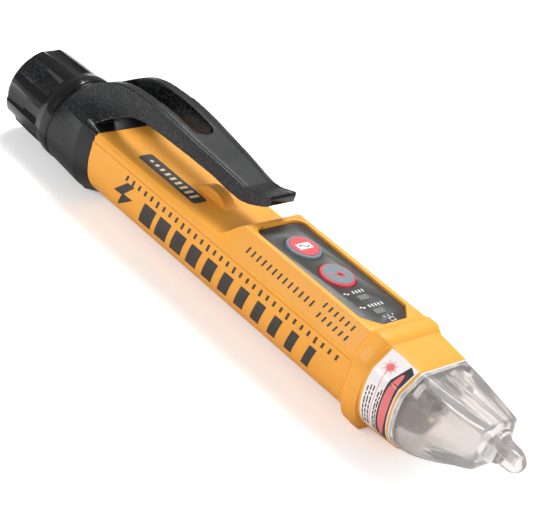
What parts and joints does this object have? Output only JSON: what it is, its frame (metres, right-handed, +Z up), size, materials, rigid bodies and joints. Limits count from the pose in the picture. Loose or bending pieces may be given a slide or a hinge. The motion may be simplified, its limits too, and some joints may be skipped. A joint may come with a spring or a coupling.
{
  "type": "non contact voltage tester",
  "caption": "Pen-shaped non contact voltage tester with a clear probe tip, keypad, laser pointer, pocket clip and twist-off battery cap.",
  "frame": {"origin": "on the resting plane, under the middle of the length, in the plane of symmetry", "axes": "+X along the pen from the battery cap to the probe tip, +Z up through the keypad and clip, Y across"},
  "size_m": [0.18, 0.0284, 0.0356],
  "materials": {
    "housing": "satin moulded",
    "black_plastic": "fine textured",
    "panel": "printed film",
    "grey_rubber": "satin",
    "red_rubber": "satin",
    "red_print": "print",
    "grey_print": "print",
    "light_pipe": "smoked translucent",
    "led_white": "polished",
    "led_red": "polished",
    "black_component": "moulded",
    "board": "solder mask",
    "brass": "turned",
    "lens": "polished",
    "plated_metal": "nickel plate",
    "clear_plastic": "polished clear",
    "gasket": "silicone",
    "label": "laminated film",
    "cell_jacket": "printed jacket",
    "seal": "moulded"
  },
  "bodies": {
    "housing": {"lower_housing": "housing", "upper_housing": "housing", "clip_collar": "black_plastic", "keypad_panel": "panel", "indicator_light_pipes": "light_pipe", "indicator_leds": "led_white", "power_switch": "black_component", "laser_switch": "black_component", "circuit_board": "board", "controller_chips": "black_component", "beeper": "black_component", "laser_module": "brass", "laser_lens": "lens", "work_light": "led_white", "signal_light": "led_red", "antenna_strip": "plated_metal", "clear_tip": "clear_plastic", "tip_gasket": "gasket", "nose_label": "label", "deck_badge": "panel", "battery_bulkhead": "black_plastic", "front_contacts": "plated_metal", "left_cell": "cell_jacket", "right_cell": "cell_jacket"},
    "clip": {"pocket_clip": "black_plastic"},
    "power_key": {"power_button": "grey_rubber", "power_button_face": "red_print"},
    "laser_key": {"laser_button": "red_rubber", "laser_button_face": "grey_print"},
    "cap_carrier": {"cap_contact_plate": "plated_metal", "cap_springs": "plated_metal"},
    "cap": {"battery_cap": "black_plastic", "cap_o_ring": "seal", "contact_screw": "plated_metal"}
  },
  "joints": [
    {"name": "clip_flex", "type": "hinge", "parent": "housing", "child": "clip", "pos_m": [-0.042, 0, 0.0356], "axis": [0, -1, 0], "range_deg": [0, 5], "stiffness_Nm_per_rad": 4},
    {"name": "power_press", "type": "slide", "parent": "housing", "child": "power_key", "axis": [0, 0, -1], "range_m": [0, 0.0004], "stiffness_N_per_m": 900},
    {"name": "laser_press", "type": "slide", "parent": "housing", "child": "laser_key", "axis": [0, 0, -1], "range_m": [0, 0.0004], "stiffness_N_per_m": 900},
    {"name": "cap_travel", "type": "slide", "parent": "housing", "child": "cap_carrier", "axis": [-1, 0, 0], "range_m": [0, 0.006]},
    {"name": "cap_twist", "type": "hinge", "parent": "cap_carrier", "child": "cap", "pos_m": [-0.07, 0, 0.0126], "axis": [-1, 0, 0], "range_deg": [0, 720]}
  ],
  "couplings": [
    {"joint": "cap_twist", "follows": "cap_travel", "rad_per_m": 2094.4}
  ]
}
